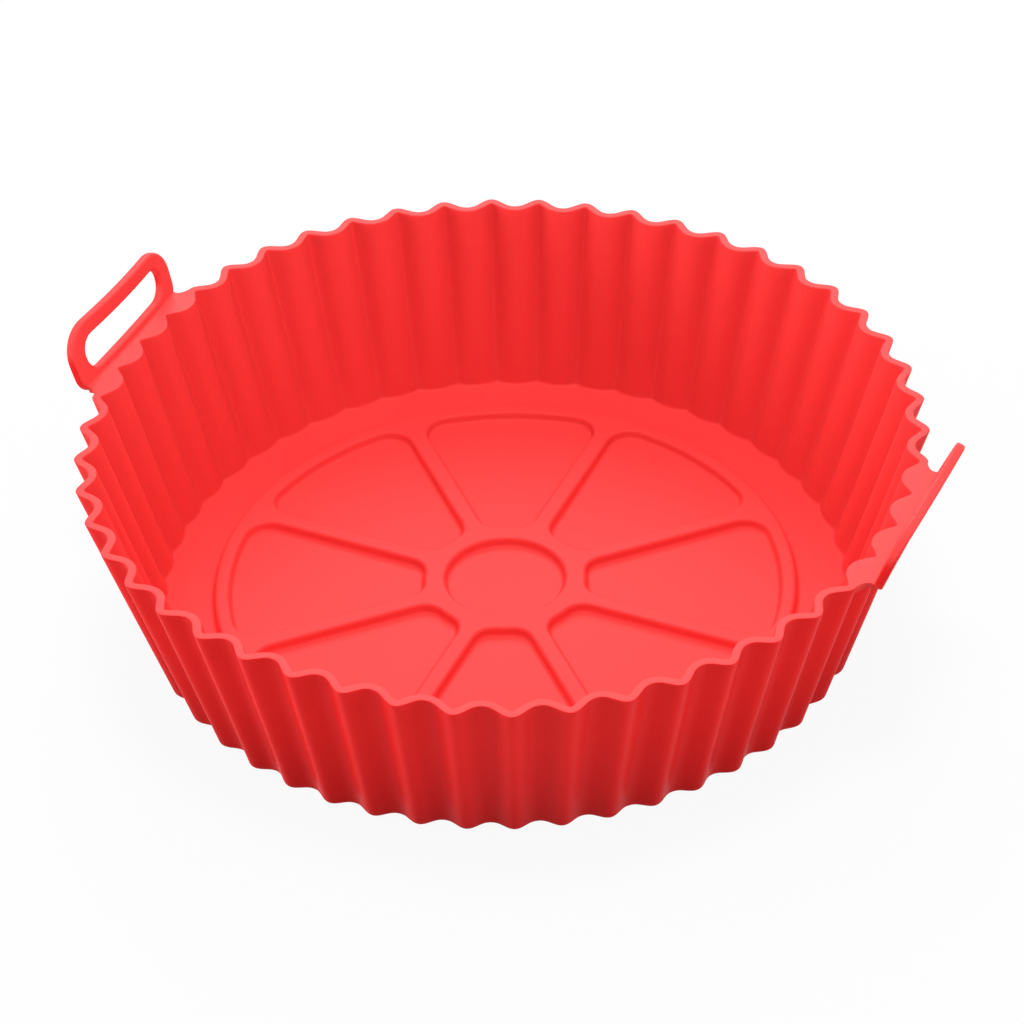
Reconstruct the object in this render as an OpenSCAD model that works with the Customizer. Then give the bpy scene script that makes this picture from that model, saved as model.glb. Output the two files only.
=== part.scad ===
// Round silicone liner for a basket oven: one moulded piece with a fluted, flaring wall,
// a floor with a wheel of raised ribs, and two lifting loops that stand on ledges at the rim.
// The flat underside rests on z = 0, the middle of the floor is on the Z axis, the loops are on X.

/* [Bowl] */
// Diameter of the rim over the crests of the flutes
rim_d = 200; // [180:1:230]
// Diameter of the base over the crests of the flutes
base_d = 173; // [165:1:185]
// Height of the rim above the underside
wall_h = 48; // [35:1:70]
// Thickness of the wall
wall_t = 2; // [1.6:0.1:2.6]
// Thickness of the floor between the ribs
floor_t = 1; // [0.8:0.1:3]
// Radius of the edge between the wall and the underside
foot_r = 1.6; // [0.6:0.1:2.4]
// Radius of the fillet between the wall and the floor, inside
fillet_r = 0.8; // [0.6:0.1:4]

/* [Flutes] */
// Number of flutes round the wall
flute_count = 50; // [36:2:54]
// Depth of a flute at the rim, from crest to valley
rim_flute_depth = 3.4; // [1.6:0.1:4.4]
// Depth of a flute at the base, from crest to valley
base_flute_depth = 2.3; // [1:0.1:3.2]
// Depth of the creases inside, behind the crests, at the floor
floor_crease_depth = 0.5; // [0:0.1:2]
// How narrow the crests are outside, where 1 is an even wave
crest_narrowness = 1.2; // [1:0.05:1.6]
// Sharpness of the creases inside, where 1 is as sharp as an even wall makes them
crease_sharpness = 0.95; // [0.5:0.05:0.95]

/* [Floor ribs] */
// Height of the ribs above the floor
rib_h = 2; // [0.8:0.1:2.5]
// Lean of the ribs' sides, away from upright
rib_draft = 20; // [0:1:25]
// Outer radius of the ring rib
ring_r = 71; // [60:0.5:72]
// Width of the ring rib
ring_w = 3.5; // [2:0.5:6]
// Number of spokes, the first on the side of the right loop
spoke_count = 8; // [4:2:12]
// Width of a spoke
spoke_w = 4; // [2:0.5:6]
// Outer radius of the hub ring
hub_r = 19.5; // [14:0.5:26]
// Width of the hub ring
hub_w = 4.5; // [2.5:0.5:7]
// Corner radius of the pockets next to the ring rib
pocket_rim_r = 6; // [2:0.5:8]
// Corner radius of the pockets next to the hub
pocket_hub_r = 3; // [1:0.5:3.5]

/* [Loops] */
// Length of a loop along the rim
loop_l = 46; // [40:0.5:52]
// Reach of a loop above the rim, along its plate
loop_reach = 14.5; // [13:0.5:22]
// Thickness of a loop's plate
loop_t = 2.2; // [1.6:0.1:3]
// Width of a loop's top bar
bar_w = 4.1; // [3:0.1:6]
// Width of a loop's two ends
end_w = 4.9; // [3.5:0.1:7]
// Height of the sill below the opening, above the ledge
sill_h = 1.6; // [0.5:0.1:3]
// Corner radius of a loop's top
loop_top_r = 8.5; // [4:0.5:9]
// Corner radius of a loop's foot
loop_foot_r = 4.5; // [2:0.5:5]
// Corner radius of the opening
opening_r = 4.2; // [1:0.1:4.3]
// Lean of the loops outwards, away from upright
loop_lean = 20; // [0:1:25]
// Thickness of the ledge that carries a loop
ledge_t = 2.4; // [1.6:0.1:3]
// Length of the ledge where it meets the plate
ledge_l = 44; // [38:0.5:46]
// Number of crests that the ledge takes in on either side of its middle
ledge_crests = 2; // [1:1:3]
// Depth by which the ledge's ends curve in between the last crest and the plate
ledge_end_dip = 1.1; // [0:0.1:1.5]

/* [Hidden] */

silicone = [0.89, 0.13, 0.14];
rim_r = rim_d / 2;
base_r = base_d / 2;
points_per_flute = 10;
ring_points = flute_count * points_per_flute;
rib_root = 0.4; // depth to which the ribs are rooted in the floor
cut = 0.1; // by which the pockets and the hub's hole reach past the ribs
end_steps = 8; // straight pieces of a curved end of the ledge

// Crest radius and flute depth of the outer face at height z
function crest_r(z) = base_r + (rim_r - base_r) * z / wall_h;
function flute_depth(z) = base_flute_depth + (rim_flute_depth - base_flute_depth) * z / wall_h;

// Depth of the creases in the inner face at height z, which runs out towards the floor
function crease_depth(z) =
    floor_crease_depth + (rim_flute_depth - floor_crease_depth) * (z - floor_t) / (wall_h - floor_t);

// Wave of the flutes at angle a: 1 on a crest and 0 in a valley, and its slope for each radian
function even_wave(a) = (1 + cos(flute_count * a)) / 2;
function wave(a) = pow(even_wave(a), crest_narrowness);
function wave_slope(a) =
    -crest_narrowness * pow(even_wave(a), crest_narrowness - 1) * flute_count * sin(flute_count * a) / 2;

// Radius of the outer face of the wall at angle a and height z
function outer_r(a, z) = crest_r(z) - flute_depth(z) * (1 - wave(a));

// Offset that makes the creases: the wall's thickness, or less where a crest is too sharp for that
crest_bend = 1 / rim_r + rim_flute_depth * crest_narrowness * pow(flute_count / rim_r, 2) / 2;
crease_offset = min(wall_t, crease_sharpness / crest_bend);

// Point of the rim's outer line at angle a, moved in along its normal: across and along the radius
function rim_offset(a) =
    let (r = outer_r(a, wall_h), slope = rim_flute_depth * wave_slope(a), reach = norm([r, slope]))
    [r - crease_offset * r / reach, crease_offset * slope / reach];

// Its angle, and its share of the crease's depth
function inner_angle(a) = let (p = rim_offset(a)) a + atan2(p.y, p.x);
function crease_share(a) = 1 - (rim_r - crease_offset - norm(rim_offset(a))) / rim_flute_depth;

// Radius of the inner face at height z, for the point behind angle a of the outer face
function inner_r(a, z) = crest_r(z) - flute_depth(z) - wall_t + crease_depth(z) * crease_share(a);

// Closed ring of points at height z on either face, drawn in by inset
function polar(r, a, z) = [r * cos(a), r * sin(a), z];
function ring_angle(i) = i * 360 / ring_points;
function outer_ring(z, inset) =
    [for (i = [0 : ring_points - 1]) let (a = ring_angle(i)) polar(outer_r(a, z) - inset, a, z)];
function inner_ring(z, inset) =
    [for (i = [0 : ring_points - 1]) let (a = ring_angle(i))
        polar(inner_r(a, z) - inset, inner_angle(a), z)];

// Height and inset of a quarter round of radius r at angle t, flat at 90 degrees and upright at 0
function round_rise(r, t) = r * (1 - sin(t));
function round_inset(r, t) = r * (1 - cos(t));

// Wall section as a chain of rings: round the foot, up the outside, over the rim and down to the floor
foot_rings = [for (t = [90, 45, 0]) outer_ring(round_rise(foot_r, t), round_inset(foot_r, t))];
rim_rings = [outer_ring(wall_h, 0), inner_ring(wall_h, 0)];
fillet_rings =
    [for (t = [0, 45, 90]) inner_ring(floor_t + round_rise(fillet_r, t), round_inset(fillet_r, t))];
bowl_rings = concat(foot_rings, rim_rings, fillet_rings);

// Triangles between ring k and the next, and fans from a middle point to the first and last ring
function ring_point(k, i) = 1 + k * ring_points + i % ring_points;
function band(k) = [for (i = [0 : ring_points - 1]) each [
    [ring_point(k, i), ring_point(k + 1, i), ring_point(k + 1, i + 1)],
    [ring_point(k, i), ring_point(k + 1, i + 1), ring_point(k, i + 1)]]];
function underside_fan() = [for (i = [0 : ring_points - 1]) [0, ring_point(0, i), ring_point(0, i + 1)]];
function floor_fan(last, middle) =
    [for (i = [0 : ring_points - 1]) [ring_point(last, i), middle, ring_point(last, i + 1)]];

module bowl() {
    last = len(bowl_rings) - 1;
    ring_list = [for (ring = bowl_rings) each ring];
    points = concat([[0, 0, 0]], ring_list, [[0, 0, floor_t]]);
    bands = [for (k = [0 : last - 1]) each band(k)];
    polyhedron(points, concat(underside_fan(), bands, floor_fan(last, len(points) - 1)), convexity = 6);
}

// Points of an arc, and a point turned about the middle
function arc(center, r, from, to, steps) =
    [for (i = [0 : steps]) let (a = from + (to - from) * i / steps) center + [r * cos(a), r * sin(a)]];
function turned(p, a) = [p.x * cos(a) - p.y * sin(a), p.x * sin(a) + p.y * cos(a)];

// Half of a pocket beside the spoke on +X, larger all round by grow: from the hub, round its corners
// and out to the ring
function half_pocket(grow) =
    let (half_angle = 180 / spoke_count,
        pocket_r = ring_r - ring_w,
        hub_corner_y = spoke_w / 2 + pocket_hub_r,
        hub_corner_x = sqrt(pow(hub_r + pocket_hub_r, 2) - pow(hub_corner_y, 2)),
        hub_touch = atan2(hub_corner_y, hub_corner_x),
        rim_corner_y = spoke_w / 2 + pocket_rim_r,
        rim_corner_x = sqrt(pow(pocket_r - pocket_rim_r, 2) - pow(rim_corner_y, 2)),
        rim_touch = atan2(rim_corner_y, rim_corner_x))
    concat(arc([0, 0], hub_r - grow, half_angle, hub_touch, 2),
        arc([hub_corner_x, hub_corner_y], pocket_hub_r + grow, 180 + hub_touch, 270, 4),
        arc([rim_corner_x, rim_corner_y], pocket_rim_r + grow, 270, 360 + rim_touch, 6),
        arc([0, 0], pocket_r + grow, rim_touch, half_angle, 6));

// Whole outline of a pocket about +X at height z, from two halves that mirror each other
function pocket_ring(grow, z) =
    let (side = [for (p = half_pocket(grow)) turned(p, -180 / spoke_count)])
    concat([for (p = side) [p.x, p.y, z]],
        [for (i = [len(side) - 2 : -1 : 1]) [side[i].x, -side[i].y, z]]);

// How far the ribs' sides have drawn back at height z above the floor, where the widths hold at half height
function side_run(z) = (z - rib_h / 2) * tan(rib_draft);

// Pocket with leaning sides, from below the ribs' roots to above their tops
module pocket() {
    low = pocket_ring(side_run(-rib_root - cut), -rib_root - cut);
    high = pocket_ring(side_run(rib_h + cut), rib_h + cut);
    n = len(low);
    sides = [for (i = [0 : n - 1]) [i, i + n, (i + 1) % n + n, (i + 1) % n]];
    base = [for (i = [0 : n - 1]) i];
    lid = [for (i = [n - 1 : -1 : 0]) n + i];
    polyhedron(concat(low, high), concat([base, lid], sides));
}

// Wheel of ribs: a disc with a leaning edge, less the hub's hole and the pockets between the spokes
module rib_wheel() {
    hole_r = hub_r - hub_w;
    hole_low_r = hole_r + side_run(-rib_root - cut);
    hole_high_r = hole_r + side_run(rib_h + cut);
    translate([0, 0, floor_t]) difference() {
        translate([0, 0, -rib_root])
            cylinder(rib_root + rib_h, ring_r - side_run(-rib_root), ring_r - side_run(rib_h));
        translate([0, 0, -rib_root - cut])
            cylinder(rib_root + rib_h + 2 * cut, hole_low_r, hole_high_r);
        for (i = [0 : spoke_count - 1]) rotate((i + 0.5) * 360 / spoke_count) pocket();
    }
}

// Outline between corner circles of radius top_r and foot_r, from low to high
module plate_outline(length, low, high, top_r, foot_r) {
    hull() for (side = [-1, 1]) {
        translate([side * (length / 2 - top_r), high - top_r]) circle(top_r, $fn = 48);
        translate([side * (length / 2 - foot_r), low + foot_r]) circle(foot_r, $fn = 48);
    }
}

// Plate of the right loop, drawn upright on the rim and then leaned outwards about the ledge's edge
module loop_plate() {
    opening_top = loop_reach - bar_w;
    corner_r = min(opening_r, (opening_top - sill_h) / 2);
    translate([rim_r, 0, wall_h]) rotate([0, loop_lean, 0]) rotate([90, 0, 90])
        linear_extrude(loop_t) difference() {
            plate_outline(loop_l, -ledge_t, loop_reach, loop_top_r, loop_foot_r);
            plate_outline(loop_l - 2 * end_w, sill_h, opening_top, corner_r, corner_r);
        }
}

// Curved end of the ledge in plan, from the tip of its last crest in to the plate
function ledge_end(tip, corner) =
    [for (i = [0 : end_steps]) let (t = i / end_steps)
        tip + (corner - tip) * t - [0, ledge_end_dip * sin(180 * t)]];

// Ledge of the right loop: it fills the flutes flush with the rim, from inside the wall out to the plate,
// and its outer corners are drawn in to stay under the round foot of the plate
module loop_ledge() {
    edge_x = rim_r + (loop_t / cos(loop_lean) - ledge_t * tan(loop_lean)) / 2;
    root_z = wall_h - ledge_t / 2;
    reach_angle = ledge_crests * 360 / flute_count;
    steps = 24;
    root = [for (i = [0 : steps]) let (a = reach_angle * (2 * i / steps - 1))
        polar(outer_r(a, root_z) - wall_t / 2, a, 0)];
    tip = polar(outer_r(reach_angle, root_z), reach_angle, 0);
    foot_y = min(ledge_l, loop_l - 2 * loop_foot_r) / 2;
    upper = concat(ledge_end([tip.x, tip.y], [rim_r, ledge_l / 2]), [[edge_x, foot_y]]);
    lower = [for (i = [len(upper) - 1 : -1 : 0]) [upper[i].x, -upper[i].y]];
    translate([0, 0, wall_h - ledge_t]) linear_extrude(ledge_t)
        polygon(concat([for (p = root) [p.x, p.y]], upper, lower));
}

module loops() {
    for (turn = [0, 180]) rotate(turn) {
        loop_ledge();
        loop_plate();
    }
}

module liner() {
    color(silicone) {
        union() {
            bowl();
            loops();
        }
        rib_wheel();
    }
}

liner();
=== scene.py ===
import math

import bmesh
import bpy
from mathutils import Matrix, Vector


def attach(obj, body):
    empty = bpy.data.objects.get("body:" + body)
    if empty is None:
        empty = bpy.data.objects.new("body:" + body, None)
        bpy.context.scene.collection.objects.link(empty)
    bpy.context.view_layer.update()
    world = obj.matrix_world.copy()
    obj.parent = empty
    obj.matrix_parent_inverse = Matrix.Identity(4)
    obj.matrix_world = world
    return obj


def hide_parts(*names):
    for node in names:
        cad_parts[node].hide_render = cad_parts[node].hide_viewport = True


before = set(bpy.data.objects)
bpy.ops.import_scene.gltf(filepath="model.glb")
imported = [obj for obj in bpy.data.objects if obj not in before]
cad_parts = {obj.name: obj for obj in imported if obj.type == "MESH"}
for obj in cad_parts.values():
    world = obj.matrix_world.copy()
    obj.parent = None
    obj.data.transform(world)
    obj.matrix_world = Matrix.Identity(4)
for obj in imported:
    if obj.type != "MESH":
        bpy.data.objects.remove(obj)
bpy.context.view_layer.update()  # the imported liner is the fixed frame, in metres
print("frame loaded")

mm = 0.001  # sizes are written in millimetres
quarter = math.pi / 2  # of a turn


# Small helpers for the modelling work

def deselectAll():
    if bpy.context.object and bpy.context.object.mode != "OBJECT":
        bpy.ops.object.mode_set(mode="OBJECT")
    bpy.ops.object.select_all(action="DESELECT")


def pick(pieces, active):
    deselectAll()
    for piece in pieces:
        piece.select_set(True)
    bpy.context.view_layer.objects.active = active


def editAll(piece):
    pick([piece], piece)
    bpy.ops.object.mode_set(mode="EDIT")
    bpy.ops.mesh.select_all(action="SELECT")


def backToObject():
    bpy.ops.object.mode_set(mode="OBJECT")


def startRing(name, points, fill="NOTHING"):
    # a plain ring of points round the Z axis, to be put where it belongs
    deselectAll()
    bpy.ops.mesh.primitive_circle_add(vertices=points, radius=1.0, fill_type=fill)
    piece = bpy.context.object
    piece.name = name
    return piece


def layOutline(piece, places):
    # the ring's points take the places of an outline, one by one
    for vertex, place in zip(piece.data.vertices, places):
        vertex.co = place


def selectWhere(piece, kind, test):
    # picks the vertices, edges or faces that pass a test of their place or normal
    pick([piece], piece)
    bpy.ops.object.mode_set(mode="EDIT")
    modes = {"verts": "VERT", "edges": "EDGE", "faces": "FACE"}
    bpy.ops.mesh.select_mode(type=modes[kind])
    bpy.ops.mesh.select_all(action="DESELECT")
    mesh = bmesh.from_edit_mesh(piece.data)
    for element in getattr(mesh, kind):
        if test(element):
            element.select_set(True)
    mesh.select_flush_mode()
    bmesh.update_edit_mesh(piece.data)


def applyModifier(piece, kind, settings):
    pick([piece], piece)
    modifier = piece.modifiers.new(kind.lower(), kind)
    for name, value in settings.items():
        setattr(modifier, name, value)
    bpy.ops.object.modifier_apply(modifier=modifier.name)


def weld(base, tool):
    # the tool's volume becomes one with the base
    settings = {"operation": "UNION", "object": tool, "solver": "MANIFOLD"}
    applyModifier(base, "BOOLEAN", settings)
    pick([tool], tool)
    bpy.ops.object.delete()


# Bowl: fluted wall with a rim, a foot and a floor, drawn ring by ring along its section

bowl = {
    "rimRadius": 100 * mm,  # over the crests of the flutes
    "baseRadius": 86.5 * mm,
    "height": 48 * mm,
    "wall": 2 * mm,
    "floor": 1 * mm,
    "footRound": 1.6 * mm,
    "floorFillet": 0.7 * mm,
    "rimEdge": 0.25 * mm,  # rounding of the rim's two edges
    "flutes": 50,
    "rimFluteDepth": 3.4 * mm,
    "baseFluteDepth": 2.3 * mm,
    "floorCreaseDepth": 0.9 * mm,  # inside, where the creases run out at the floor
    "creaseFade": 0.5,  # 1 fades them evenly from rim to floor, less keeps them deep for longer
    "crestNarrowness": 1.2,  # outside, 1 is an even wave
    "creaseSharpness": 0.95,  # inside, 1 is as sharp as an even wall makes the creases
    "pointsPerFlute": 20,
    "wallSteps": 10,
    "roundSteps": 5,
    "edgeSteps": 3,
    "annulusSteps": 5,
    "touch": 0.001 * mm,  # points this close to the ground are on it
}

# Wheel of ribs on the floor
ribs = {
    "height": 2 * mm,
    "ringRadius": 71 * mm,
    "ringWidth": 3.9 * mm,
    "spokes": 8,
    "spokeWidth": 4.8 * mm,
    "hubRadius": 19.9 * mm,
    "hubWidth": 5.4 * mm,
    "pocketRimRound": 6 * mm,
    "pocketHubRound": 5 * mm,
    "topRound": 0.9 * mm,
    "rootRound": 0.9 * mm,
    "draft": 20,  # degrees that a rib's side leans
    "sideSteps": 4,
    "hubArcSteps": 6,
    "hubCornerSteps": 8,
    "rimCornerSteps": 12,
    "rimArcSteps": 16,
    "hubHolePoints": 160,
}


def mix(first, second, amount):
    return first + (second - first) * amount


def evenly(first, last, steps):
    # values spread evenly from first to last, with both of them
    return [mix(first, last, step / steps) for step in range(steps + 1)]


def crestRadius(z):
    return mix(bowl["baseRadius"], bowl["rimRadius"], z / bowl["height"])


def fluteDepth(z):
    return mix(bowl["baseFluteDepth"], bowl["rimFluteDepth"], z / bowl["height"])


def creaseDepth(z):
    rise = (z - bowl["floor"]) / (bowl["height"] - bowl["floor"])
    return mix(bowl["floorCreaseDepth"], bowl["rimFluteDepth"], rise ** bowl["creaseFade"])


def evenWave(angle):
    return (1 + math.cos(bowl["flutes"] * angle)) / 2


def outerSkin(angle, z):
    return crestRadius(z) - fluteDepth(z) * (1 - evenWave(angle) ** bowl["crestNarrowness"])


def creaseOffset():
    # the wall's thickness, or less where a crest is too sharp for that
    bend = bowl["rimFluteDepth"] * bowl["crestNarrowness"] * (bowl["flutes"] / bowl["rimRadius"]) ** 2 / 2
    return min(bowl["wall"], bowl["creaseSharpness"] / (1 / bowl["rimRadius"] + bend))


def creaseLine(angle):
    # the rim's inner line follows its outer one: the angle it has there, and its share of the depth
    narrow, offset, depth = bowl["crestNarrowness"], creaseOffset(), bowl["rimFluteDepth"]
    turn = -bowl["flutes"] * math.sin(bowl["flutes"] * angle) / 2
    slope = depth * narrow * evenWave(angle) ** (narrow - 1) * turn
    radius = outerSkin(angle, bowl["height"])
    reach = math.hypot(radius, slope)
    across, along = radius - offset * radius / reach, offset * slope / reach
    part = 1 - (bowl["rimRadius"] - offset - math.hypot(across, along)) / depth
    return angle + math.atan2(along, across), part


def innerSkin(angle, z):
    valley = crestRadius(z) - fluteDepth(z) - bowl["wall"]
    return valley + creaseDepth(z) * creaseLine(angle)[1]


def quarterRound(radius, steps, rising):
    # rise and inset of a quarter round, from flat to upright when rising and back when not
    turns = evenly(quarter, 0, steps) if rising else evenly(0, quarter, steps)
    return [(radius * (1 - math.sin(turn)), radius * (1 - math.cos(turn))) for turn in turns]


def outerRing(z, inset):
    return lambda angle: (outerSkin(angle, z) - inset, angle, z)


def innerRing(z, inset):
    return lambda angle: (innerSkin(angle, z) - inset, creaseLine(angle)[0], z)


def ribSide():
    # run and height of a rib's side, from its flat top over its round and down to the floor
    lean = math.radians(ribs["draft"])
    top, root, height = ribs["topRound"], ribs["rootRound"], ribs["height"]
    slope = height - top - root + (top + root) * math.sin(lean)
    foot = (top + root) * math.cos(lean) + slope * math.tan(lean)
    turns = evenly(quarter, lean, ribs["sideSteps"])
    upper = [(top * math.cos(turn), height - top + top * math.sin(turn)) for turn in turns]
    lower = [(foot - root * math.cos(turn), root - root * math.sin(turn)) for turn in reversed(turns)]
    middle = foot / 2  # the nominal outline is halfway down the side
    return [(run - middle, rise) for run, rise in upper + lower]


def bowlSection():
    # round the foot, up the outside, over the rim and down the inside to the floor
    height, floor, edge = bowl["height"], bowl["floor"], bowl["rimEdge"]
    footRound = quarterRound(bowl["footRound"], bowl["roundSteps"], True)
    rimRound = quarterRound(edge, bowl["edgeSteps"], False)
    fillet = quarterRound(bowl["floorFillet"], bowl["roundSteps"], False)
    outsideHeights = evenly(bowl["footRound"], height - edge, bowl["wallSteps"])
    insideHeights = evenly(height - edge, floor + bowl["floorFillet"], bowl["wallSteps"])
    rings = [outerRing(rise, inset) for rise, inset in footRound]
    rings += [outerRing(z, 0) for z in outsideHeights[1:]]
    rings += [outerRing(height - rise, inset) for rise, inset in rimRound[1:]]
    rings += [innerRing(height - rise, -inset) for rise, inset in reversed(rimRound)]
    rings += [innerRing(z, 0) for z in insideHeights[1:]]
    rings += [innerRing(floor + rise, inset) for rise, inset in fillet[1:]]
    return rings


def floorSection():
    # from the end of the fillet in to the ring rib, and up its side to its flat top
    floor = bowl["floor"]
    side = [(ribs["ringRadius"] + run, floor + rise) for run, rise in reversed(ribSide())]
    start = innerRing(floor, bowl["floorFillet"])
    rings = []
    for part in evenly(0, 1, bowl["annulusSteps"])[1:]:
        rings.append(lambda angle, part=part: (
            mix(start(angle)[0], side[0][0], part), mix(start(angle)[1], angle, part), floor))
    rings += [lambda angle, radius=radius, z=z: (radius, angle, z) for radius, z in side[1:]]
    return rings


def placeSelected(place, layerName):
    # each selected vertex goes to its place on the ring, for the angle noted on it
    data = bpy.context.object.data
    mesh = bmesh.from_edit_mesh(data)
    layer = mesh.verts.layers.float[layerName]
    for vertex in mesh.verts:
        if vertex.select:
            radius, turn, z = place(vertex[layer])
            vertex.co = (radius * math.cos(turn), radius * math.sin(turn), z)
    bmesh.update_edit_mesh(data)


def makeShell():
    piece = startRing("linerMoulding", bowl["flutes"] * bowl["pointsPerFlute"])
    angles = piece.data.attributes.new("ringAngle", "FLOAT", "POINT")
    for vertex, note in zip(piece.data.vertices, angles.data):
        note.value = math.atan2(vertex.co.y, vertex.co.x)
    editAll(piece)
    rings = bowlSection() + floorSection()
    placeSelected(rings[0], "ringAngle")
    for ring in rings[1:]:
        bpy.ops.mesh.extrude_region_move()
        placeSelected(ring, "ringAngle")
    selectWhere(piece, "verts", lambda vertex: vertex.co.z < bowl["touch"])
    bpy.ops.mesh.edge_face_add()  # the flat underside
    bpy.ops.mesh.poke()
    backToObject()
    piece.data.attributes.remove(piece.data.attributes["ringAngle"])
    return piece


def arc(centre, radius, start, end, steps):
    directions = [Vector((math.cos(turn), math.sin(turn))) for turn in evenly(start, end, steps)]
    return [centre + direction * radius for direction in directions]


def pocketOutline(grow):
    # one pocket about +X, larger all round by grow; half of it, then its mirror image
    half = math.pi / ribs["spokes"]
    hub, rim = ribs["hubRadius"], ribs["ringRadius"] - ribs["ringWidth"]
    hubRound, rimRound = ribs["pocketHubRound"], ribs["pocketRimRound"]
    hubY = ribs["spokeWidth"] / 2 + hubRound
    hubCorner = Vector((math.sqrt((hub + hubRound) ** 2 - hubY ** 2), hubY))
    rimY = ribs["spokeWidth"] / 2 + rimRound
    rimCorner = Vector((math.sqrt((rim - rimRound) ** 2 - rimY ** 2), rimY))
    hubTouch = math.atan2(hubCorner.y, hubCorner.x)
    rimTouch = math.atan2(rimCorner.y, rimCorner.x)
    axis, sideways = Vector((0, 0)), 3 * quarter
    side = arc(axis, hub - grow, half, hubTouch, ribs["hubArcSteps"])
    side += arc(hubCorner, hubRound + grow, math.pi + hubTouch, sideways, ribs["hubCornerSteps"])[1:]
    side += arc(rimCorner, rimRound + grow, sideways, math.tau + rimTouch, ribs["rimCornerSteps"])
    side += arc(axis, rim + grow, rimTouch, half, ribs["rimArcSteps"])[1:]
    turned = [Matrix.Rotation(-half, 2) @ point for point in side]
    mirrored = [Vector((point.x, -point.y)) for point in reversed(turned[1:-1])]
    return turned + mirrored


def sinkFace(piece):
    # the selected flat face is drawn in and down along a rib's side, to the floor
    side = ribSide()
    editAll(piece)
    if piece.data.polygons[0].normal.z < 0:
        bpy.ops.mesh.flip_normals()
    for (run, rise), (nextRun, nextRise) in zip(side, side[1:]):
        bpy.ops.mesh.inset(thickness=nextRun - run, depth=nextRise - rise, use_even_offset=True)
    backToObject()


def makePocket():
    grow = -ribSide()[0][0]
    top = bowl["floor"] + ribs["height"]
    outline = [Vector((point.x, point.y, top)) for point in pocketOutline(grow)]
    piece = startRing("pocket", len(outline), "NGON")
    layOutline(piece, outline)
    sinkFace(piece)
    return piece


def makeHubHole():
    radius = ribs["hubRadius"] - ribs["hubWidth"] - ribSide()[0][0]
    top = bowl["floor"] + ribs["height"]
    piece = startRing("hubHole", ribs["hubHolePoints"], "NGON")
    layOutline(piece, [vertex.co * radius + Vector((0, 0, top)) for vertex in piece.data.vertices])
    sinkFace(piece)
    return piece


def makeFloor(shell):
    # pockets and hub hole hang from the flat top of the ribs, which is filled between them
    pocket = makePocket()
    parts = [shell, makeHubHole()]
    for index in range(ribs["spokes"]):
        pick([pocket], pocket)
        bpy.ops.object.duplicate()
        copy = bpy.context.object
        middle = math.tau * (index + 1 / 2) / ribs["spokes"]  # halfway between two spokes
        copy.data.transform(Matrix.Rotation(middle, 4, "Z"))
        parts.append(copy)
    pick([pocket], pocket)
    bpy.ops.object.delete()
    pick(parts, shell)
    bpy.ops.object.join()
    selectWhere(shell, "edges", lambda edge: edge.is_boundary)
    bpy.ops.mesh.fill(use_beauty=True)
    bpy.ops.mesh.select_all(action="SELECT")
    bpy.ops.mesh.normals_make_consistent(inside=False)
    backToObject()


shell = makeShell()
makeFloor(shell)
print("bowl and floor ribs made")


# Lifting loops: a plate with an opening, on a ledge that fills the flutes at the rim

loops = {
    "length": 46 * mm,
    "reach": 14.5 * mm,
    "thickness": 2.2 * mm,
    "bar": 4.1 * mm,
    "end": 4.9 * mm,
    "sill": 1.6 * mm,
    "topRound": 8.6 * mm,
    "footRound": 4.6 * mm,
    "openingRound": 4.2 * mm,
    "ledge": 2.4 * mm,
    "ledgeLength": 44 * mm,  # where it meets the plate
    "ledgeCrests": 2,  # taken in on either side of its middle
    "endDip": 1.1 * mm,  # by which its ends curve in
    "endDraft": 0.9 * mm,  # by which they lean in from top to bottom
    "cornerShare": 1 / 3,  # of the plate's thickness that the ledge's corners reach into
    "edgeRound": 0.6 * mm,
    "edgeOver": 60,  # degrees, edges sharper than this are rounded
    "edgeSteps": 4,
    "cornerSteps": 12,
    "longSteps": 20,
    "shortSteps": 4,
    "barSteps": 4,
    "rootSteps": 80,
    "endSteps": 10,
}

# Lean of each loop in degrees at its near end, its middle and its far end, as the soft silicone stands
rightLean = {"near": 18.0, "middle": 21.7, "far": 22.5}
leftLean = {"near": 16.5, "middle": 9.0, "far": 10.6}


def plateOutline(length, foot, top, topRound, footRound):
    # corners and straight stretches, with the same number of points for every such outline
    side = length / 2
    corners = [
        (side - footRound, foot + footRound, footRound, -quarter, loops["shortSteps"]),
        (side - topRound, top - topRound, topRound, 0, loops["longSteps"]),
        (topRound - side, top - topRound, topRound, quarter, loops["shortSteps"]),
        (footRound - side, foot + footRound, footRound, 2 * quarter, loops["longSteps"]),
    ]
    arcs = [arc(Vector((y, z)), radius, start, start + quarter, loops["cornerSteps"])
            for y, z, radius, start, steps in corners]
    outline = []
    for corner, points, after in zip(corners, arcs, arcs[1:] + arcs[:1]):
        stretch = evenly(0, 1, corner[-1])[1:-1]
        outline += points + [points[-1].lerp(after[0], part) for part in stretch]
    return [Vector((0, point.x, point.y)) for point in outline]


def leanAt(lean, y):
    part = y / (loops["length"] / 2)
    even = (lean["near"] + lean["far"]) / 2 - lean["middle"]
    skew = (lean["far"] - lean["near"]) / 2
    return math.radians(lean["middle"] + skew * part + even * part * part)


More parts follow.
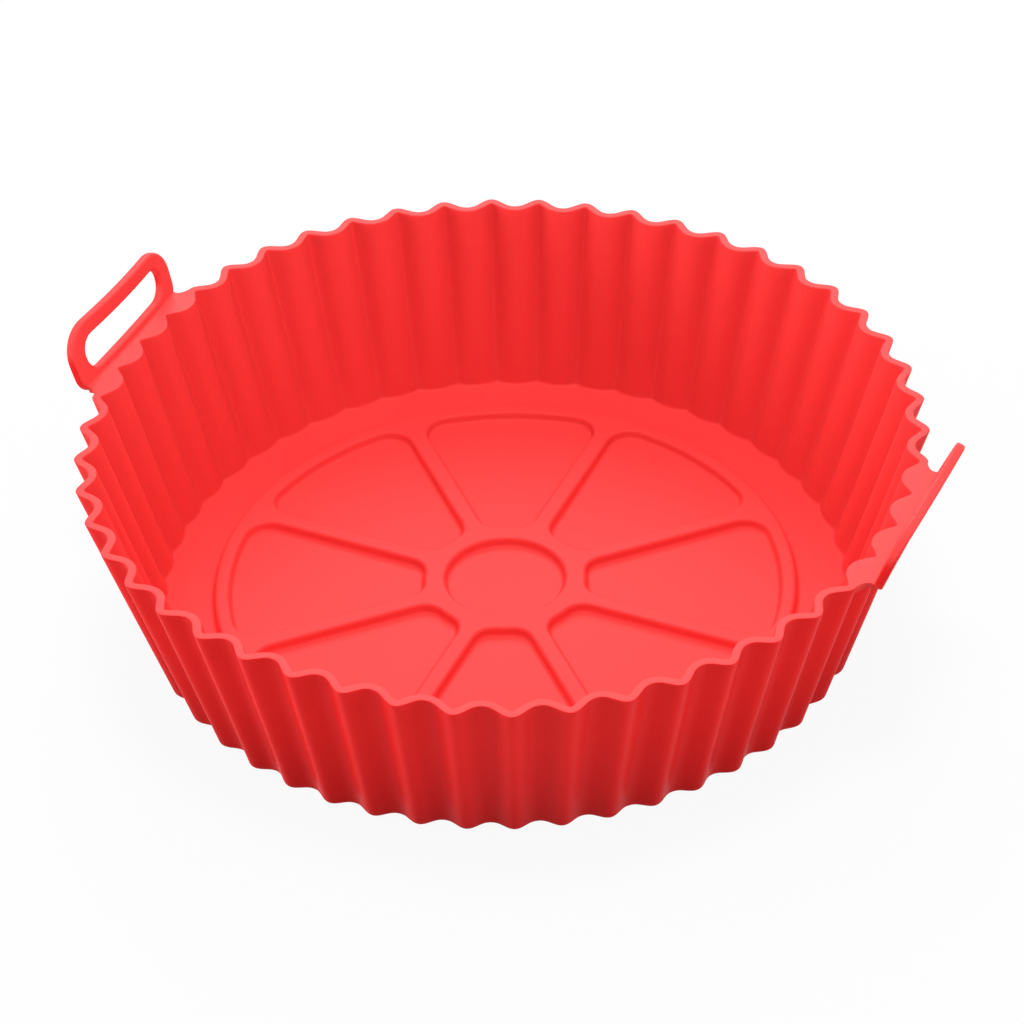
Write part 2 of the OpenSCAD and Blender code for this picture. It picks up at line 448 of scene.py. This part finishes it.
def makePlate(lean):
    outer = plateOutline(loops["length"], -loops["ledge"], loops["reach"],
                         loops["topRound"], loops["footRound"])
    hole = plateOutline(loops["length"] - 2 * loops["end"], loops["sill"],
                        loops["reach"] - loops["bar"], loops["openingRound"], loops["openingRound"])
    piece, opening = startRing("loop", len(outer)), startRing("opening", len(hole))
    layOutline(piece, outer)
    layOutline(opening, hole)
    pick([piece, opening], piece)
    bpy.ops.object.join()
    editAll(piece)
    bpy.ops.mesh.bridge_edge_loops(number_cuts=loops["barSteps"], interpolation="LINEAR")
    bpy.ops.mesh.select_all(action="SELECT")
    bpy.ops.mesh.extrude_region_move(TRANSFORM_OT_translate={"value": (loops["thickness"], 0, 0)})
    bpy.ops.mesh.select_all(action="SELECT")
    bpy.ops.mesh.normals_make_consistent(inside=False)
    backToObject()
    applyModifier(piece, "BEVEL", {"width": loops["edgeRound"], "segments": loops["edgeSteps"],
                                   "limit_method": "ANGLE", "angle_limit": math.radians(loops["edgeOver"])})
    for vertex in piece.data.vertices:
        turn = leanAt(lean, vertex.co.y)
        leaned = Matrix.Rotation(turn, 3, "Y") @ vertex.co
        vertex.co = leaned + Vector((bowl["rimRadius"], 0, bowl["height"]))
    return piece


def onCircle(radius, angle):
    return Vector((radius * math.cos(angle), radius * math.sin(angle)))


def ledgeEnd(tip, corner):
    # curved end of the ledge in plan, from the tip of its last crest in to the plate
    places = []
    for part in evenly(0, 1, loops["endSteps"]):
        dip = Vector((0, loops["endDip"] * math.sin(math.pi * part)))
        places.append(tip.lerp(corner, part) - dip)
    return places


def makeLedge():
    # flush with the rim, from the middle of the wall out to the plate
    root = bowl["height"] - loops["ledge"] / 2
    reach = math.tau * loops["ledgeCrests"] / bowl["flutes"]
    turns = evenly(-reach, reach, loops["rootSteps"])
    inner = [onCircle(outerSkin(turn, root) - bowl["wall"] / 2, turn) for turn in turns]
    corner = Vector((bowl["rimRadius"], loops["ledgeLength"] / 2))
    upper = ledgeEnd(onCircle(outerSkin(reach, root), reach), corner)
    sunk = loops["thickness"] * loops["cornerShare"]
    upper.append(Vector((bowl["rimRadius"] + sunk, loops["length"] / 2 - loops["footRound"])))
    lower = [Vector((point.x, -point.y)) for point in reversed(upper)]
    outline = [Vector((point.x, point.y, bowl["height"])) for point in inner + upper + lower]
    piece = startRing("ledge", len(outline), "NGON")
    layOutline(piece, outline)
    editAll(piece)
    bpy.ops.mesh.extrude_region_move(TRANSFORM_OT_translate={"value": (0, 0, -loops["ledge"])})
    bpy.ops.mesh.select_all(action="SELECT")
    bpy.ops.mesh.normals_make_consistent(inside=False)
    backToObject()
    for vertex in piece.data.vertices:
        outside = math.hypot(vertex.co.x, vertex.co.y) > bowl["rimRadius"] - bowl["wall"] / 2
        if outside and vertex.co.z < root:
            vertex.co.y -= math.copysign(loops["endDraft"], vertex.co.y)
    return piece


def mirrorAcross(piece):
    for vertex in piece.data.vertices:
        vertex.co.x = -vertex.co.x
    editAll(piece)
    bpy.ops.mesh.normals_make_consistent(inside=False)
    backToObject()


for side, lean in (("right", rightLean), ("left", leftLean)):
    for part in (makeLedge(), makePlate(lean)):
        if side == "left":
            mirrorAcross(part)
        weld(shell, part)
    print(side, "loop welded on,", len(shell.data.polygons), "faces")


# The soft rim doesn't stand quite round: where it is pushed out or in, with the spread to either side

settling = [
    {"at": -94, "spread": 32, "push": -1.4 * mm},
    {"at": -62, "spread": 32, "push": 2.0 * mm},
    {"at": -27, "spread": 30, "push": -0.7 * mm},
    {"at": 42, "spread": 44, "push": 1.2 * mm},
    {"at": 85, "spread": 40, "push": -0.65 * mm},
    {"at": 140, "spread": 36, "push": 0.3 * mm},
    {"at": 0, "spread": 24, "push": -0.25 * mm},
    {"at": 180, "spread": 34, "push": -1.3 * mm},
    {"at": -136, "spread": 36, "push": 0.3 * mm},
]


def pushAt(angle):
    total = 0.0
    for place in settling:
        away = (math.degrees(angle) - place["at"] + 180) % 360 - 180
        if abs(away) < place["spread"]:
            total += place["push"] * (1 + math.cos(math.pi * away / place["spread"])) / 2
    return total


def letSettle(piece):
    for vertex in piece.data.vertices:
        radius = math.hypot(vertex.co.x, vertex.co.y)
        if radius > ribs["ringRadius"]:
            rise = min(vertex.co.z / bowl["height"], 1)
            scale = 1 + pushAt(math.atan2(vertex.co.y, vertex.co.x)) * rise / radius
            vertex.co.x *= scale
            vertex.co.y *= scale


# What the skin notes for its colour: painted shade in creases, valleys and at the foot, and painted sheen
# on top
skin = {
    "from": 0.15,  # facing away from the middle, or towards it, counts from this share of it
    "to": 0.45,  # and counts in full past this one
    "wallReach": 4 * mm,  # the wall's skin is looked for this far in from its valleys outside
    "creaseNarrowness": 3,
    "creasePaintedShade": 0.05,  # share of black painted into the creases inside, as painted shade
    "valleyPaintedShade": 0.05,  # share of black painted into the valleys outside, as painted shade
    "footPaintedShade": 0.19,  # share of black painted down at the foot outside, as painted shade, darker towards the bottom
    "footReach": 34 * mm,
    "smoothUnder": 40,  # degrees, edges sharper than this stay crisp
    "areaWeight": 50,
}


def clamp(value):
    return min(max(value, 0), 1)


def noteSkin(piece):
    # outside is 1 on skin that looks outwards, or on top where it looks neither up nor in; the next note is
    # the share of black painted as shade in creases, valleys and at the foot; edge is painted sheen, 1 on
    # rim and loops where they look up or in
    names = ("outside", "deep", "edge")
    notes = {name: piece.data.attributes.new(name, "FLOAT", "POINT") for name in names}
    for index, vertex in enumerate(piece.data.vertices):
        place, z = Vector((vertex.co.x, vertex.co.y, 0)), vertex.co.z
        facing = vertex.normal.dot(place.normalized())
        outward, inward, paintedSheen = (
            clamp((look - skin["from"]) / (skin["to"] - skin["from"]))
            for look in (facing, -facing, max(vertex.normal.z, -facing)))
        wave = evenWave(math.atan2(vertex.co.y, vertex.co.x))
        onTop = z > bowl["height"] - bowl["rimEdge"] / 2
        onWall = not onTop and place.length > crestRadius(z) - fluteDepth(z) - skin["wallReach"]
        crease = inward * wave ** skin["creaseNarrowness"] * skin["creasePaintedShade"]
        valley = outward * (1 - wave) * skin["valleyPaintedShade"]
        foot = outward * clamp(1 - z / skin["footReach"]) * skin["footPaintedShade"]
        notes["outside"].data[index].value = 1 - paintedSheen if onTop else outward * onWall
        notes["deep"].data[index].value = (crease + valley + foot) * onWall
        notes["edge"].data[index].value = paintedSheen * onTop


letSettle(shell)
noteSkin(shell)
pick([shell], shell)
bpy.ops.object.shade_smooth_by_angle(angle=math.radians(skin["smoothUnder"]))
weighting = {"mode": "FACE_AREA", "weight": skin["areaWeight"], "keep_sharp": True}
applyModifier(shell, "WEIGHTED_NORMAL", weighting)
print("rim settled and shaded")


# Shader maths on sockets, and one way to add any other node

class Signal:
    def __init__(self, bench, socket):
        self.bench = bench
        self.socket = socket

    def math(self, operation, first, second):
        return self.bench.node("ShaderNodeMath", {"operation": operation}, {0: first, 1: second})

    def __add__(self, other):
        return self.math("ADD", self, other)

    def __radd__(self, other):
        return self.math("ADD", other, self)

    def __sub__(self, other):
        return self.math("SUBTRACT", self, other)

    def __rsub__(self, other):
        return self.math("SUBTRACT", other, self)

    def __mul__(self, other):
        return self.math("MULTIPLY", self, other)

    def __rmul__(self, other):
        return self.math("MULTIPLY", other, self)

    def orMore(self, other):
        return self.math("MAXIMUM", self, other)

    def beside(self, name):
        # another output of the same node
        return Signal(self.bench, self.socket.node.outputs[name])


class NodeBench:
    def __init__(self, owner):
        owner.use_nodes = True
        self.tree = owner.node_tree
        self.tree.nodes.clear()

    def node(self, kind, settings=None, sockets=None, output=0):
        made = self.tree.nodes.new(kind)
        for name, value in (settings or {}).items():
            setattr(made, name, value)
        for name, value in (sockets or {}).items():
            if isinstance(value, Signal):
                self.tree.links.new(value.socket, made.inputs[name])
            else:
                made.inputs[name].default_value = value
        return Signal(self, made.outputs[output]) if made.outputs else None

    def blend(self, amount, first, second):
        # sockets 6 and 7 are the two colours, and output 2 is the mixed one
        sockets = {"Factor": amount, 6: first, 7: second}
        return self.node("ShaderNodeMix", {"data_type": "RGBA"}, sockets, 2)

    def noted(self, name):
        # a number noted on the piece's points
        return self.node("ShaderNodeAttribute", {"attribute_name": name}, None, "Fac")

    def noise(self, place, size, detail):
        sockets = {"Vector": place, "Scale": 1 / size, "Detail": detail}
        return self.node("ShaderNodeTexNoise", None, sockets)


black = (0, 0, 0, 1)
white = (1, 1, 1, 1)

silicone = {
    # the inside's paler, pinker colour is painted sheen and the outside's deeper red is painted shade
    "inside": (0.665, 0.0360, 0.0355, 1),
    "insidePale": (0.705, 0.0400, 0.0395, 1),
    "outside": (0.665, 0.0140, 0.0140, 1),
    "outsidePale": (0.705, 0.0160, 0.0160, 1),
    "edgePaintedSheen": (0.72, 0.0480, 0.0470, 1),  # painted sheen on rim, ledges and loops, where they look up or inwards
    "cloudSize": 30 * mm,
    "cloudDetail": 3,
    "roughness": 0.42,
    "roughnessSpread": 0.10,
    "shine": 0.03,
    "grainSize": 0.35 * mm,
    "grainDetail": 2,
    "grainHeight": 0.004 * mm,
    "swellSize": 9 * mm,
    "swellDetail": 1,
    "swellHeight": 0.02 * mm,
}


def makeSilicone():
    material = bpy.data.materials.new("moulded silicone")
    bench = NodeBench(material)
    place = bench.node("ShaderNodeTexCoord", None, None, "Object")
    cloud = bench.noise(place, silicone["cloudSize"], silicone["cloudDetail"])
    grain = bench.noise(place, silicone["grainSize"], silicone["grainDetail"])
    swell = bench.noise(place, silicone["swellSize"], silicone["swellDetail"])
    inside = bench.blend(cloud, silicone["inside"], silicone["insidePale"])
    outside = bench.blend(cloud, silicone["outside"], silicone["outsidePale"])
    # painted sheen inside and painted shade outside, split where the skin looks outwards
    skinColor = bench.blend(bench.noted("outside"), inside, outside)
    # painted sheen: paler colour on rim, ledge and loop faces that look up or inwards
    withPaintedSheen = bench.blend(bench.noted("edge"), skinColor, silicone["edgePaintedSheen"])
    # painted shade: the colour is blended towards black in the creases, valleys and at the foot
    color = bench.blend(bench.noted("deep"), withPaintedSheen, black)
    roughness = silicone["roughness"] + (cloud - 0.5) * silicone["roughnessSpread"]
    height = grain * silicone["grainHeight"] + swell * silicone["swellHeight"]
    bump = bench.node("ShaderNodeBump", None, {"Height": height, "Strength": 1.0, "Distance": 1.0})
    shader = bench.node("ShaderNodeBsdfPrincipled", None, {
        "Base Color": color,
        "Roughness": roughness,
        "Normal": bump,
        "Specular IOR Level": silicone["shine"],
    })
    bench.node("ShaderNodeOutputMaterial", None, {"Surface": shader})
    return material


shell.data.materials.clear()
shell.data.materials.append(makeSilicone())
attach(shell, "root")
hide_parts("liner")
print("silicone finish set")


# Pale floor and soft studio light

studio = {
    "floorSize": 3.0,
    "floorColor": (0.45, 0.45, 0.45, 1),
    "floorGlow": 0.93,  # share of plain white that the eye and reflections see on the floor
    "skyStrength": 0.42,
}
lamps = [  # metres and watts
    {"name": "backKey", "place": (-0.40, 0.86, 0.74), "size": 0.65, "power": 13.5},
    {"name": "overhead", "place": (0, 0, 1.3), "size": 0.4, "power": 15.5},
    {"name": "rightFill", "place": (1.15, 0.15, 0.3), "size": 0.8, "power": 6.2},
    {"name": "leftFill", "place": (-1.2, -0.25, 0.2), "size": 0.8, "power": 8.5},
    {"name": "lowFill", "place": (-1.0, -0.6, 0.1), "size": 0.5, "power": 8},
    {"name": "frontFill", "place": (0.5, -1.1, 0.3), "size": 0.9, "power": 4.6},
]
aim = Vector((0, 0, 0.02))  # where every lamp points


def seenPlain(bench):
    # 1 for what the eye sees directly, in a reflection or through glass
    path = bench.node("ShaderNodeLightPath", None, None, "Is Camera Ray")
    return path.orMore(path.beside("Is Glossy Ray")).orMore(path.beside("Is Transmission Ray"))


def makeFloorStage():
    deselectAll()
    bpy.ops.mesh.primitive_plane_add(size=studio["floorSize"])
    floor = bpy.context.object
    floor.name = "studioFloor"
    material = bpy.data.materials.new("pale floor")
    bench = NodeBench(material)
    matt = bench.node("ShaderNodeBsdfDiffuse", None, {"Color": studio["floorColor"]})
    glow = bench.node("ShaderNodeEmission", None, {"Color": white, "Strength": 1.0})
    amount = seenPlain(bench) * studio["floorGlow"]
    mixed = bench.node("ShaderNodeMixShader", None, {0: amount, 1: matt, 2: glow})
    bench.node("ShaderNodeOutputMaterial", None, {"Surface": mixed})
    floor.data.materials.append(material)


def makeSky():
    world = bpy.data.worlds.new("studio")
    bpy.context.scene.world = world
    bench = NodeBench(world)
    strength = studio["skyStrength"] + seenPlain(bench) * (1 - studio["skyStrength"])
    sky = bench.node("ShaderNodeBackground", None, {"Color": white, "Strength": strength})
    bench.node("ShaderNodeOutputWorld", None, {"Surface": sky})


def makeLamp(values):
    bpy.ops.object.light_add(type="AREA", location=values["place"])
    lamp = bpy.context.object
    lamp.name = values["name"]
    lamp.data.size = values["size"]
    lamp.data.energy = values["power"]
    lamp.rotation_euler = (aim - lamp.location).to_track_quat("-Z", "Y").to_euler()


makeFloorStage()
makeSky()
for values in lamps:
    makeLamp(values)
print("floor and light set")


# Camera at the photograph's viewing angle

view = {
    "azimuth": 24.72,  # degrees from the front towards the right
    "elevation": 38.14,
    "roll": -1.70,
    "distance": 799.5 * mm,
    "aim": Vector((-10.2, 27.3, 0)) * mm,
    "lens": 111.6,
    "sensor": 36,
}


def makeCamera():
    azimuth, elevation, roll = (math.radians(view[name]) for name in ("azimuth", "elevation", "roll"))
    back = Vector((math.sin(azimuth) * math.cos(elevation),
                   -math.cos(azimuth) * math.cos(elevation), math.sin(elevation)))
    right = Vector((math.cos(azimuth), math.sin(azimuth), 0))
    up = back.cross(right)
    across = right * math.cos(roll) + up * math.sin(roll)
    upright = up * math.cos(roll) - right * math.sin(roll)
    bpy.ops.object.camera_add(location=view["aim"] + back * view["distance"])
    camera = bpy.context.object
    camera.rotation_euler = Matrix((across, upright, back)).transposed().to_euler()
    camera.data.lens = view["lens"]
    camera.data.sensor_width = view["sensor"]
    bpy.context.scene.camera = camera


makeCamera()
bpy.context.scene.view_settings.view_transform = "Standard"
print("camera set")
